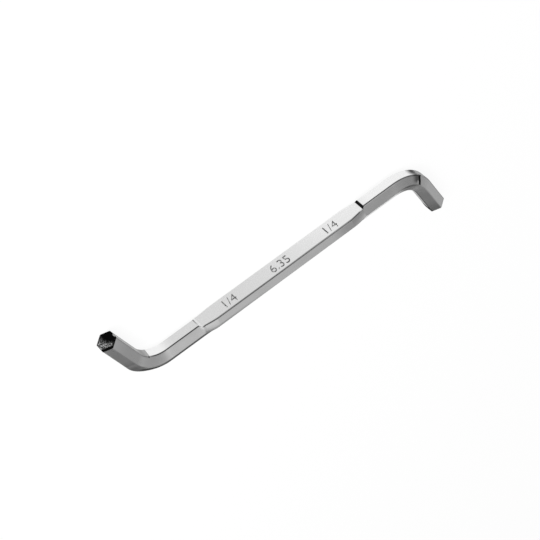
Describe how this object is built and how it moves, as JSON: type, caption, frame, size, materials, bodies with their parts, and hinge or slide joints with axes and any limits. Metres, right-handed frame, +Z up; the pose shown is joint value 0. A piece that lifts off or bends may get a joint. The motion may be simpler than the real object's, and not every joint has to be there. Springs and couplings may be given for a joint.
{
  "type": "garbage disposal wrench",
  "caption": "Hexagonal steel bar bent to a shallow Z, with a square-cut drive tip at each end and a pressed flat panel along its middle, for freeing a jammed garbage disposal by hand.",
  "frame": {"origin": "under the middle of the bar, on the surface that the wrench lies on", "axes": "+X along the bar, -Y out of the pressed panel, +Z up, square to the plane that the wrench is bent in"},
  "size_m": [0.136, 0.0468, 0.0072],
  "materials": {
    "plated_steel": "satin bright plating over cold-drawn steel"
  },
  "bodies": {
    "root": {"hex_bar": "plated_steel"}
  },
  "joints": []
}
